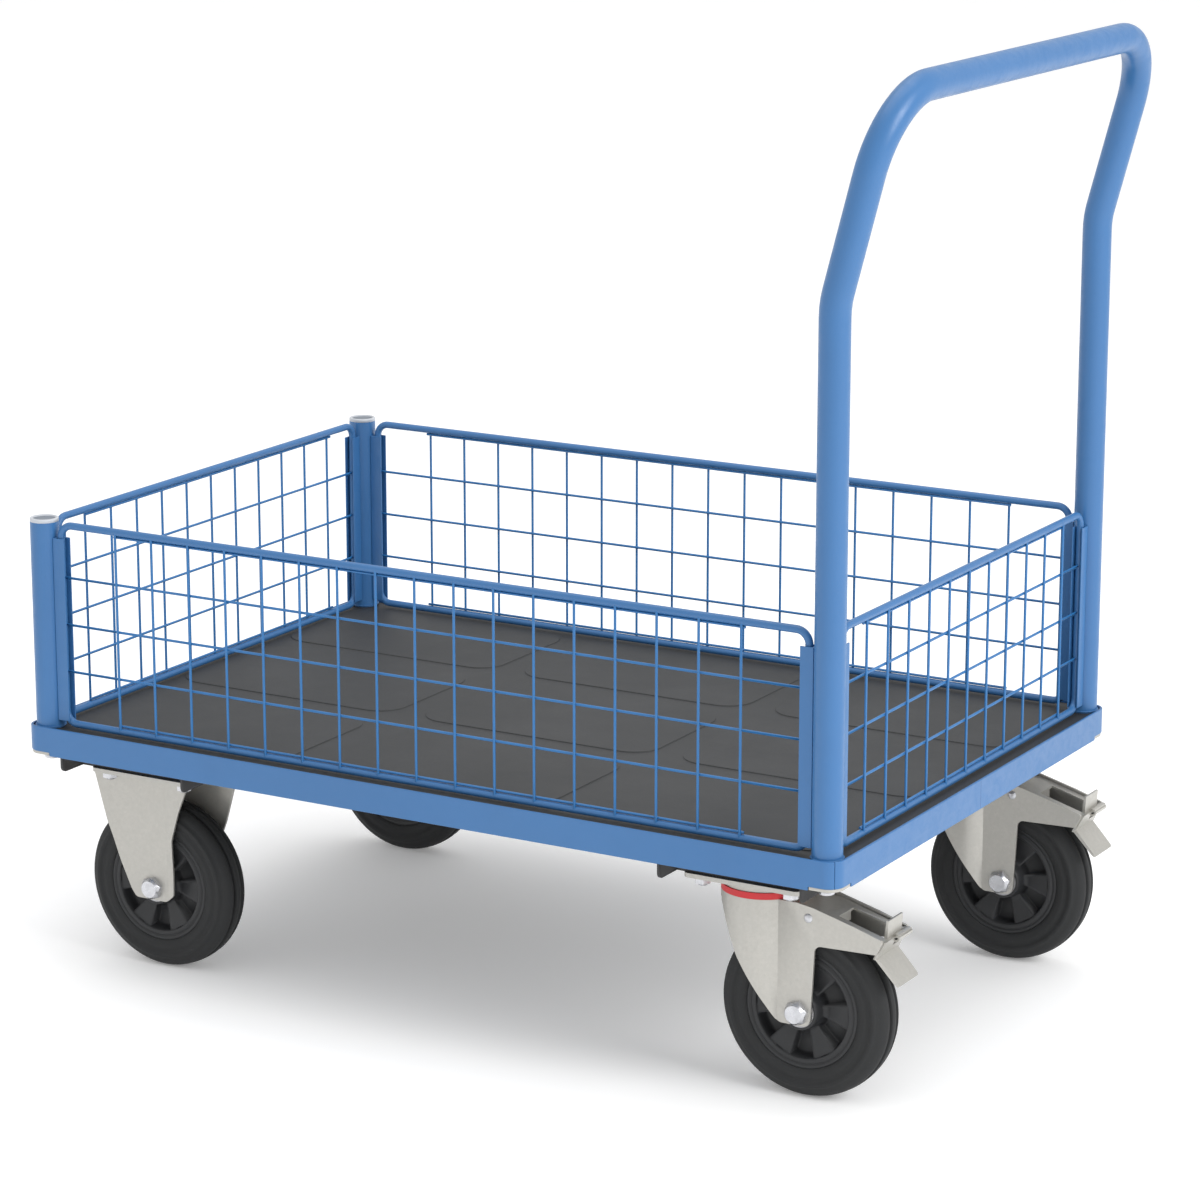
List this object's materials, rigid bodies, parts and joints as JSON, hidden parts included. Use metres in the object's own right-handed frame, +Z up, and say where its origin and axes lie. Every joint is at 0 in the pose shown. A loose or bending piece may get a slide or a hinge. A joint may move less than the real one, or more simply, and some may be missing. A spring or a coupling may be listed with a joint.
{
  "type": "platform truck with mesh sides",
  "caption": "Flatbed platform truck with lift-out wire-mesh sides, a one-piece tubular push handle, fixed castors at one end and braked swivel castors at the handle end.",
  "frame": {"origin": "on the floor, under the middle of the whole truck's outline", "axes": "+X along the deck towards the push handle and the swivel castors, +Y across the deck, +Z up"},
  "size_m": [1.0988, 0.699, 1.1],
  "materials": {
    "frame_paint": "blue powder coat, satin",
    "panel_paint": "blue powder coat, satin",
    "wire_paint": "blue powder coat, satin",
    "deck_film": "dark film-faced board with a fine line pattern",
    "channel_paint": "black paint, matt",
    "cap_plastic": "grey moulded cap",
    "tyre_rubber": "dark grey solid tyre",
    "rim_plastic": "dark grey moulded rim",
    "bearing_steel": "bright rollers and balls",
    "seal_plastic": "red bearing seal",
    "bolt_zinc": "bright zinc plate",
    "turned_steel": "turned steel",
    "castor_zinc": "galvanised sheet"
  },
  "bodies": {
    "platform": {"side_rails": "frame_paint", "end_rails": "frame_paint", "board_ledges": "frame_paint", "deck_board": "deck_film", "castor_channel_left": "channel_paint", "castor_channel_right": "channel_paint", "corner_plates": "castor_zinc", "post_bolts": "bolt_zinc", "post_spacers": "turned_steel", "post_inserts": "turned_steel", "corner_posts": "frame_paint", "post_caps": "cap_plastic", "push_handle": "frame_paint", "side_guides": "frame_paint", "end_guides": "frame_paint", "castor_bolts": "bolt_zinc", "castor_nuts": "bolt_zinc", "fixed_castor_plates": "castor_zinc", "swivel_castor_plates": "castor_zinc", "swivel_upper_races": "castor_zinc", "kingpins": "bolt_zinc", "fixed_fork_near": "castor_zinc", "fixed_fork_far": "castor_zinc", "fixed_axle_bolts": "bolt_zinc", "fixed_axle_sleeves": "turned_steel"},
    "panel_near": {"panel_near_frame": "panel_paint", "panel_near_mesh": "wire_paint"},
    "panel_far": {"panel_far_frame": "panel_paint", "panel_far_mesh": "wire_paint"},
    "panel_left": {"panel_left_frame": "panel_paint", "panel_left_mesh": "wire_paint"},
    "panel_right": {"panel_right_frame": "panel_paint", "panel_right_mesh": "wire_paint"},
    "fixed_wheel_near": {"fixed_tyre_near": "tyre_rubber", "fixed_rim_near": "rim_plastic", "fixed_roller_cage_near": "bearing_steel"},
    "swivel_near": {"swivel_fork_near": "castor_zinc", "seal_ring_near": "seal_plastic", "swivel_balls_near": "bearing_steel", "swivel_axle_bolt_near": "bolt_zinc", "swivel_axle_sleeve_near": "turned_steel", "brake_pin_near": "bolt_zinc"},
    "swivel_wheel_near": {"swivel_tyre_near": "tyre_rubber", "swivel_rim_near": "rim_plastic", "swivel_roller_cage_near": "bearing_steel"},
    "pedal_near": {"brake_pedal_near": "castor_zinc"},
    "fixed_wheel_far": {"fixed_tyre_far": "tyre_rubber", "fixed_rim_far": "rim_plastic", "fixed_roller_cage_far": "bearing_steel"},
    "swivel_far": {"swivel_fork_far": "castor_zinc", "seal_ring_far": "seal_plastic", "swivel_balls_far": "bearing_steel", "swivel_axle_bolt_far": "bolt_zinc", "swivel_axle_sleeve_far": "turned_steel", "brake_pin_far": "bolt_zinc"},
    "swivel_wheel_far": {"swivel_tyre_far": "tyre_rubber", "swivel_rim_far": "rim_plastic", "swivel_roller_cage_far": "bearing_steel"},
    "pedal_far": {"brake_pedal_far": "castor_zinc"}
  },
  "joints": [
    {"name": "panel_near_lift", "type": "slide", "parent": "platform", "child": "panel_near", "axis": [0, 0, 1], "range_m": [0, 0.24]},
    {"name": "panel_far_lift", "type": "slide", "parent": "platform", "child": "panel_far", "axis": [0, 0, 1], "range_m": [0, 0.24]},
    {"name": "panel_left_lift", "type": "slide", "parent": "platform", "child": "panel_left", "axis": [0, 0, 1], "range_m": [0, 0.24]},
    {"name": "panel_right_lift", "type": "slide", "parent": "platform", "child": "panel_right", "axis": [0, 0, 1], "range_m": [0, 0.24]},
    {"name": "fixed_wheel_near_roll", "type": "hinge", "parent": "platform", "child": "fixed_wheel_near", "pos_m": [-0.41835, -0.2572, 0.1], "axis": [0, 1, 0], "continuous": true},
    {"name": "castor_near_swivel", "type": "hinge", "parent": "platform", "child": "swivel_near", "pos_m": [0.36515, -0.2572, 0.2], "axis": [0, 0, 1], "continuous": true},
    {"name": "swivel_wheel_near_roll", "type": "hinge", "parent": "swivel_near", "child": "swivel_wheel_near", "pos_m": [0.42215, -0.2572, 0.1], "axis": [0, 1, 0], "continuous": true},
    {"name": "brake_near_press", "type": "hinge", "parent": "swivel_near", "child": "pedal_near", "pos_m": [0.43415, -0.2572, 0.207], "axis": [0, 1, 0], "range_deg": [0, 6]},
    {"name": "fixed_wheel_far_roll", "type": "hinge", "parent": "platform", "child": "fixed_wheel_far", "pos_m": [-0.41835, 0.2572, 0.1], "axis": [0, 1, 0], "continuous": true},
    {"name": "castor_far_swivel", "type": "hinge", "parent": "platform", "child": "swivel_far", "pos_m": [0.36515, 0.2572, 0.2], "axis": [0, 0, 1], "continuous": true},
    {"name": "swivel_wheel_far_roll", "type": "hinge", "parent": "swivel_far", "child": "swivel_wheel_far", "pos_m": [0.42215, 0.2572, 0.1], "axis": [0, 1, 0], "continuous": true},
    {"name": "brake_far_press", "type": "hinge", "parent": "swivel_far", "child": "pedal_far", "pos_m": [0.43415, 0.2572, 0.207], "axis": [0, 1, 0], "range_deg": [0, 6]}
  ]
}
